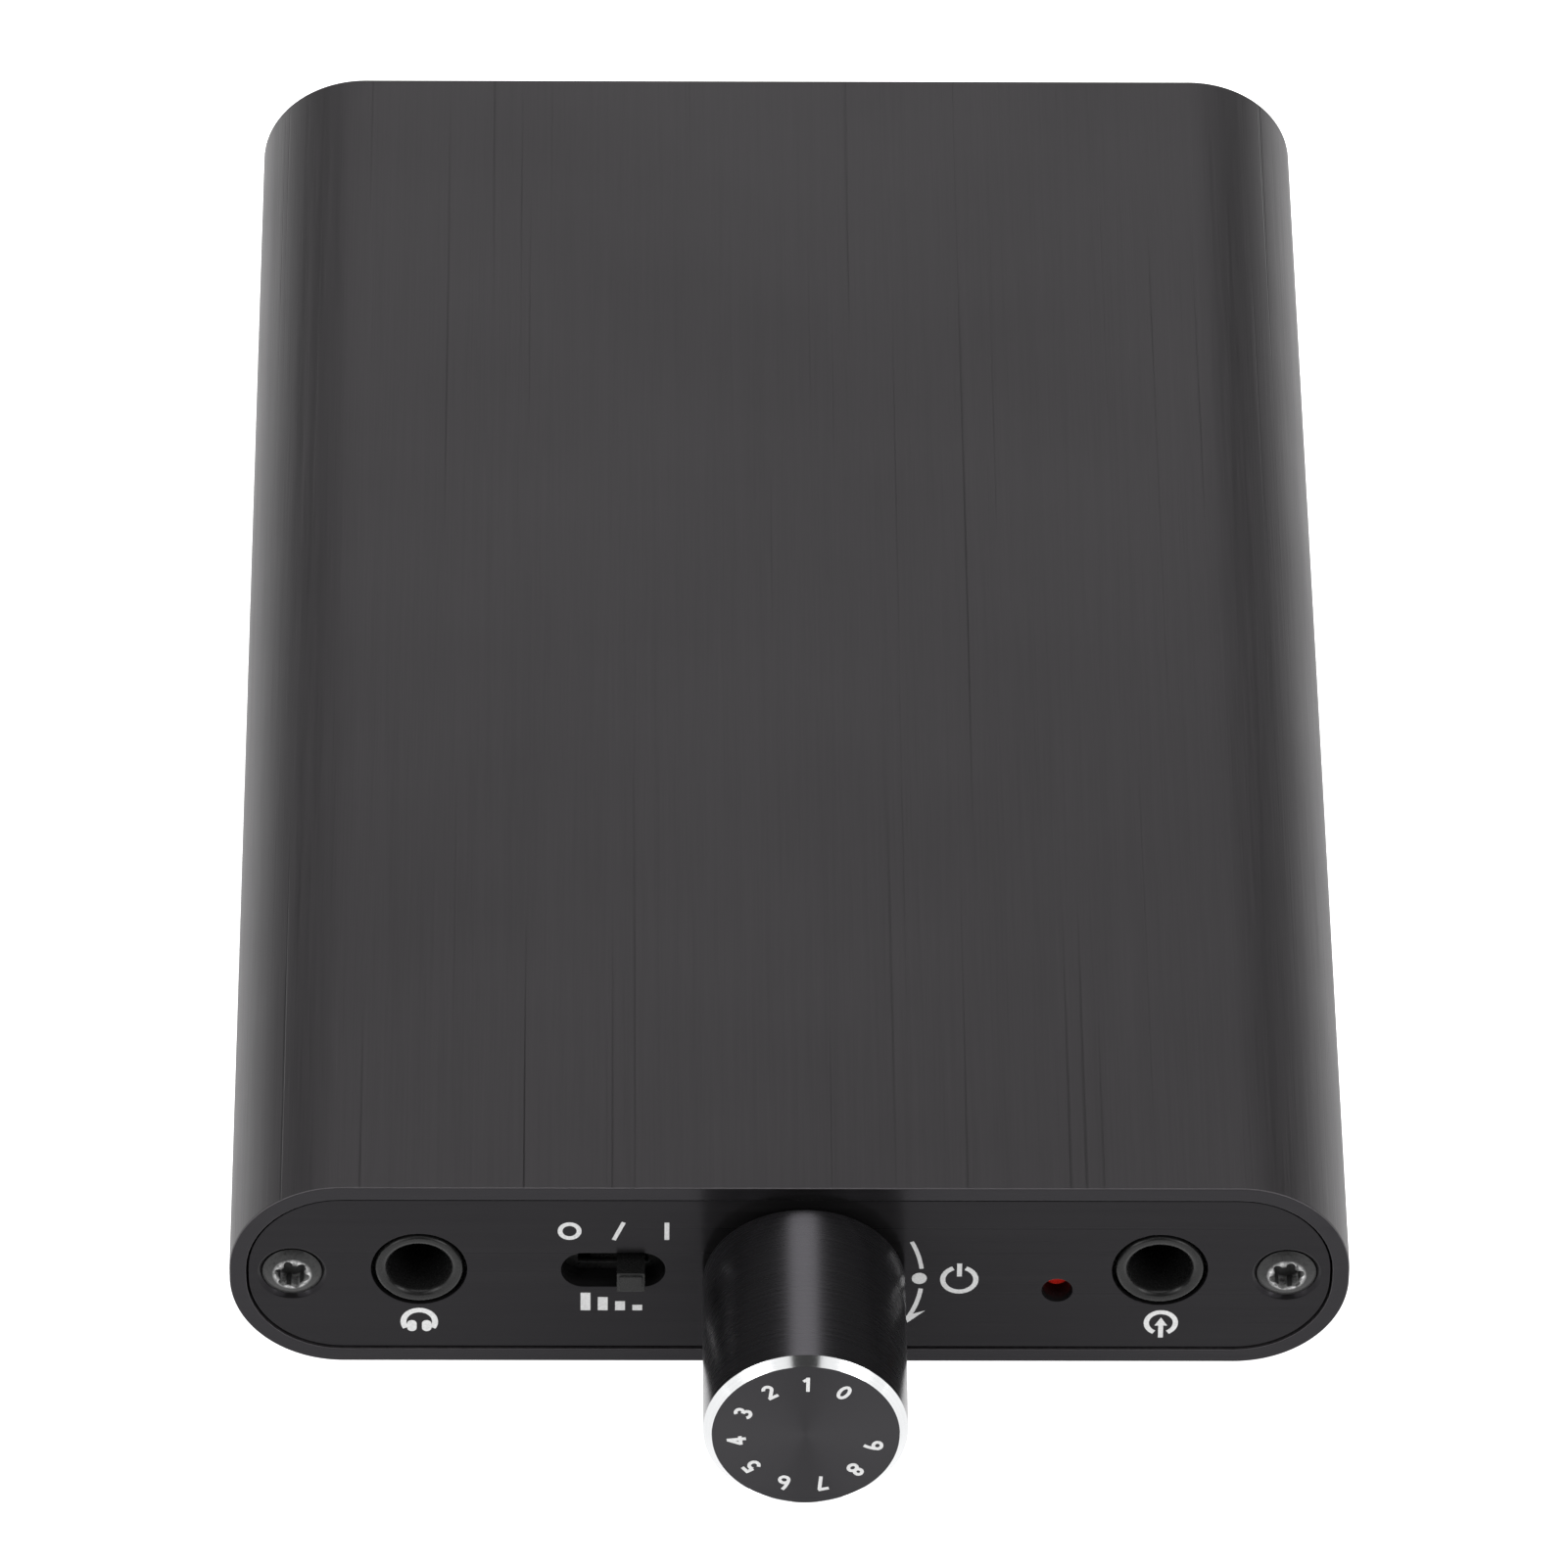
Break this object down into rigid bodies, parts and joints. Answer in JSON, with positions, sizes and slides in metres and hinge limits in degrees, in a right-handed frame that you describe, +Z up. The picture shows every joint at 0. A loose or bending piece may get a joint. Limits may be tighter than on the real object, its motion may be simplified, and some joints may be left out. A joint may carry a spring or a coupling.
{
  "type": "headphone amplifier",
  "caption": "Pocket headphone amplifier: flat extruded sleeve, inset end plates, projecting volume knob, two 3.5 mm sockets, bass slide switch and charging socket.",
  "frame": {"origin": "middle of the sleeve's underside", "axes": "+X to the right as seen from the front, +Y from the front plate to the back, +Z up; the knob points along -Y"},
  "size_m": [0.0636, 0.1131, 0.0135],
  "materials": {
    "anodised_case": "black anodised, brushed along its length, satin",
    "anodised_panel": "black anodised, brushed across, semi-gloss",
    "black_oxide": "black oxide steel",
    "anodised_knob": "black anodised, turned, satin",
    "black_plastic": "moulded, fine satin",
    "shaft_steel": "turned",
    "white_plastic": "moulded nylon",
    "spring_brass": "bright spring strip",
    "zinc": "die cast zinc",
    "phenolic_board": "punched laminate",
    "steel_strip": "plated strip",
    "contact_silver": "silver-plated spring strip",
    "red_lens": "clear red epoxy",
    "clear_lens": "clear epoxy",
    "gold_contact": "gold-plated",
    "circuit_board": "green solder mask",
    "chip_epoxy": "moulded epoxy",
    "tinned_lead": "matt tin",
    "can_aluminium": "drawn can",
    "ferrite": "pressed ferrite",
    "ceramic": "fired ceramic",
    "pouch_foil": "laminated foil",
    "amber_film": "polyimide tape",
    "foam": "closed-cell foam tape",
    "red_wire": "PVC sleeve",
    "black_wire": "PVC sleeve"
  },
  "bodies": {
    "chassis": {"case_sleeve": "anodised_case", "front_panel": "anodised_panel", "rear_panel": "anodised_panel", "front_panel_screws": "black_oxide", "rear_panel_screws": "black_oxide", "volume_bushing_plate": "zinc", "volume_gang_housings": "black_plastic", "volume_wafers": "phenolic_board", "power_switch_housing": "black_plastic", "power_switch_contacts": "spring_brass", "volume_clamp_frame": "steel_strip", "volume_terminals": "tinned_lead", "headphone_jack_body": "black_plastic", "headphone_jack_contacts": "contact_silver", "input_jack_body": "black_plastic", "input_jack_contacts": "contact_silver", "bass_switch_frame": "black_oxide", "bass_switch_base": "phenolic_board", "bass_switch_terminals": "tinned_lead", "power_lamp_lens": "red_lens", "power_lamp_leads": "tinned_lead", "charge_lamp_lens": "clear_lens", "charge_lamp_leads": "tinned_lead", "usb_shell": "steel_strip", "usb_tongue": "black_plastic", "usb_contacts": "gold_contact", "main_board": "circuit_board", "amplifier_chips": "chip_epoxy", "power_chips": "chip_epoxy", "chip_leads": "tinned_lead", "capacitor_cans": "can_aluminium", "capacitor_bases": "black_plastic", "power_inductor": "ferrite", "chip_resistors": "chip_epoxy", "chip_capacitors": "ceramic", "battery_cell": "pouch_foil", "battery_protection_board": "amber_film", "battery_foam_pad": "foam", "battery_wire_red": "red_wire", "battery_wire_black": "black_wire", "battery_plug": "white_plastic", "battery_socket": "white_plastic"},
    "volume_control": {"knob_shell": "anodised_knob", "knob_core": "black_plastic", "volume_shaft": "shaft_steel", "volume_rotors": "white_plastic", "volume_wipers": "spring_brass", "power_switch_cam": "white_plastic"},
    "bass_lever": {"bass_switch_lever": "black_plastic", "bass_switch_bridge": "spring_brass"}
  },
  "joints": [
    {"name": "volume_turn", "type": "hinge", "parent": "chassis", "child": "volume_control", "pos_m": [0.0008, -0.056, 0.00675], "axis": [0, 1, 0], "range_deg": [-300, 0]},
    {"name": "bass_slide", "type": "slide", "parent": "chassis", "child": "bass_lever", "axis": [1, 0, 0], "range_m": [-0.002, 0]}
  ]
}
